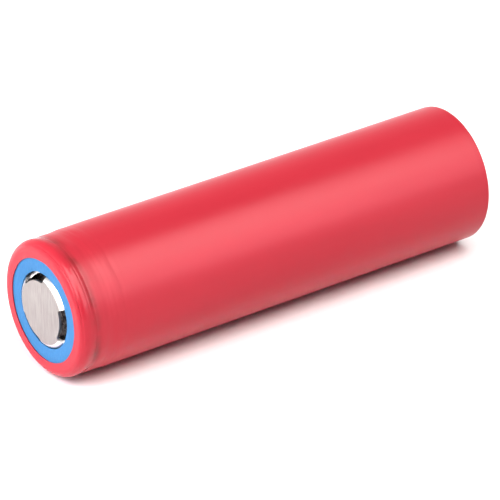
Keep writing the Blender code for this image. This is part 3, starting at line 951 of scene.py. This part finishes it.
ptc = turned("ptc_ring_fine",
             rounded([(5.35, 63.05), (8.04, 63.05), (8.04, 63.35),
                      (5.35, 63.35)], 0.04, 2), "ptc_polymer", 160)
adopt(ptc, "ptc_ring")
vent_rim = turned("vent_disc_rim_fine",
                  rounded([(4.30, 62.83), (4.42, 62.75), (8.04, 62.75),
                           (8.04, 63.00), (4.42, 63.00), (4.30, 62.92)],
                          0.03, 2), "aluminium", 160)
adopt(vent_rim, "vent_disc_rim")
top = [(0.0, 62.12), (1.0, 62.12), (1.55, 62.12), (1.85, 62.16),
       (2.20, 62.28), (2.90, 62.62), (3.40, 62.86), (3.70, 62.96),
       (4.12, 63.00), (4.24, 62.92)]
low = [(4.24, 62.83), (4.12, 62.75), (3.75, 62.71), (3.45, 62.61),
       (2.95, 62.37), (2.25, 62.03), (1.90, 61.90), (1.60, 61.86),
       (1.0, 61.86), (0.0, 61.86)]
vent_mid = turned("vent_disc_centre_fine", top + low, "aluminium", 144,
                  closed=False, sharp=40.0)
adopt(vent_mid, "vent_disc_centre", body="vent_centre")
holder = turned("cid_insulator_fine",
                rounded([(5.20, 62.70), (6.85, 62.70), (6.85, 62.35),
                         (6.60, 62.35), (6.60, 61.20), (5.70, 61.20),
                         (5.70, 61.45), (6.26, 61.45), (6.26, 62.35),
                         (5.20, 62.35)], 0.05, 2), "white_pp", 144)
adopt(holder, "cid_insulator")


def drill(name, radius, place_r, angle, h0, h1, sides=41):
    a = np.arange(sides) * 2 * math.pi / sides
    c = math.radians(angle)
    x = place_r * math.cos(c) + radius * np.cos(a)
    y = place_r * math.sin(c) + radius * np.sin(a)
    bm = bmesh.new()
    rings = []
    for h in (h0, h1):
        pts = to_world(np.hypot(x, y), np.arctan2(y, x), np.full(sides, h))
        rings.append([bm.verts.new(tuple(p)) for p in pts])
    bm.faces.new(rings[0])
    bm.faces.new(rings[1][::-1])
    for i in range(sides):
        j = (i + 1) % sides
        bm.faces.new((rings[0][i], rings[1][i], rings[1][j], rings[0][j]))
    bmesh.ops.recalc_face_normals(bm, faces=bm.faces)
    mesh = bpy.data.meshes.new(name)
    bm.to_mesh(mesh)
    bm.free()
    obj = bpy.data.objects.new(name, mesh)
    bpy.context.scene.collection.objects.link(obj)
    return obj


def slot_tool(name, place_r, angle, depth, width, h0, h1):
    c = math.radians(angle)
    bm = bmesh.new()
    rings = []
    corners = []
    rad = depth * 0.42
    for cx, cy, a0 in ((depth / 2 - rad, width / 2 - rad, 0),
                       (-depth / 2 + rad, width / 2 - rad, 90),
                       (-depth / 2 + rad, -width / 2 + rad, 180),
                       (depth / 2 - rad, -width / 2 + rad, 270)):
        for a in np.radians(np.linspace(a0, a0 + 90, 6)):
            corners.append((place_r + cx + rad * math.cos(a),
                            cy + rad * math.sin(a)))
    x = np.array([p[0] * math.cos(c) - p[1] * math.sin(c) for p in corners])
    y = np.array([p[0] * math.sin(c) + p[1] * math.cos(c) for p in corners])
    n = len(corners)
    for h in (h0, h1):
        pts = to_world(np.hypot(x, y), np.arctan2(y, x), np.full(n, h))
        rings.append([bm.verts.new(tuple(p)) for p in pts])
    bm.faces.new(rings[0])
    bm.faces.new(rings[1][::-1])
    for i in range(n):
        j = (i + 1) % n
        bm.faces.new((rings[0][i], rings[1][i], rings[1][j], rings[0][j]))
    bmesh.ops.recalc_face_normals(bm, faces=bm.faces)
    mesh = bpy.data.meshes.new(name)
    bm.to_mesh(mesh)
    bm.free()
    obj = bpy.data.objects.new(name, mesh)
    bpy.context.scene.collection.objects.link(obj)
    return obj


def disc(name, r0, r1, h0, h1, slot, segments=144):
    if r0 > 0:
        return turned(name, rounded([(r0, h0), (r1, h0), (r1, h1), (r0, h1)],
                                    0.03, 2), slot, segments)
    edge = rounded([(0.0, h0), (r1, h0), (r1, h1), (0.0, h1)], 0.03, 2,
                   keep=(0, 3))
    return turned(name, edge, slot, segments, closed=False)


plate = disc("cid_weld_plate_fine", 0, 6.20, 61.50, 61.80, "aluminium")
carve(plate, [drill("plate_%d" % i, 0.75, 3.75, 30 + 60 * i, 61.2, 62.1)
              for i in range(6)])
adopt(plate, "cid_weld_plate")

PITCH, ROLL_R0 = 0.88, 2.00
pos_r = ROLL_R0 + PITCH * 5.25 + 0.24 - 0.08
neg_r = ROLL_R0 + PITCH * 5.75 + 0.67 - 0.07
upper = disc("upper_insulator_fine", 1.60, 8.48, 59.95, 60.18, "white_pp")
carve(upper, [slot_tool("us", pos_r, 90, 0.70, 3.6, 59.5, 60.6)]
      + [drill("uh_%d" % i, 0.90, 4.40, a, 59.5, 60.6)
         for i, a in enumerate((210, 330, 270))])
adopt(upper, "upper_insulator_disc")
lower = disc("lower_insulator_fine", 1.60, 8.48, 0.62, 0.84, "white_pp")
carve(lower, [slot_tool("ls", neg_r, 270, 0.70, 3.6, 0.3, 1.2)])
adopt(lower, "lower_insulator_disc")


# ---------------------------------------------------------------------------
# winding
# ---------------------------------------------------------------------------
def layer(name, offset, first, last, h0, h1, thickness, slot, steps=96,
          rows=3):
    count = int(round((last - first) * steps))
    turn = first + np.arange(count + 1) / steps
    radius = ROLL_R0 + PITCH * turn + offset
    angle = 2 * math.pi * turn
    hs = np.linspace(h0, h1, rows)
    e = 0.25 * thickness
    loop = ([(-thickness / 2, h0 + e), (-thickness / 2, h1 - e),
             (-thickness / 2 + e, h1), (thickness / 2 - e, h1),
             (thickness / 2, h1 - e), (thickness / 2, h0 + e),
             (thickness / 2 - e, h0), (-thickness / 2 + e, h0)])
    rings = [to_world(radius + o, angle, np.full(len(angle), h))
             for o, h in loop]
    verts = np.stack(rings, 1).reshape(-1, 3)       # station by station
    m = len(loop)
    faces = []
    for i in range(count):
        for j in range(m):
            k = (j + 1) % m
            faces.append((i * m + j, i * m + k, (i + 1) * m + k,
                          (i + 1) * m + j))
    faces.append(tuple(range(m)))
    faces.append(tuple(count * m + j for j in range(m))[::-1])
    return mesh_object(name, verts, faces, slot, 35.0)


Z0, Z1 = 1.90, 59.20
adopt(layer("separator_a", 0.03, 0.0, 7.0, Z0, Z1, 0.06, "separator_film"),
      "separator_inner")
adopt(layer("separator_b", 0.46, 0.0, 6.125, Z0, Z1, 0.06, "separator_film"),
      "separator_outer")
adopt(layer("cathode", 0.24, 0.25, 5.75, Z0 + 0.8, Z1 - 0.8, 0.28,
            "cathode_coat"), "cathode_sheet")
adopt(layer("anode", 0.67, 0.125, 6.0, Z0 + 0.4, Z1 - 0.4, 0.28,
            "anode_coat"), "anode_sheet")
adopt(layer("closing_tape", 0.03 + 0.03 + 0.07, 6.375, 7.125, Z0 + 3, Z1 - 3,
            0.06, "tape_green"), "roll_closing_tape")

# carried-over CAD nodes get the finished materials
for name, obj in frame["nodes"].items():
    obj.data.materials.clear()
    obj.data.materials.append(MATS[slot_of[name]])
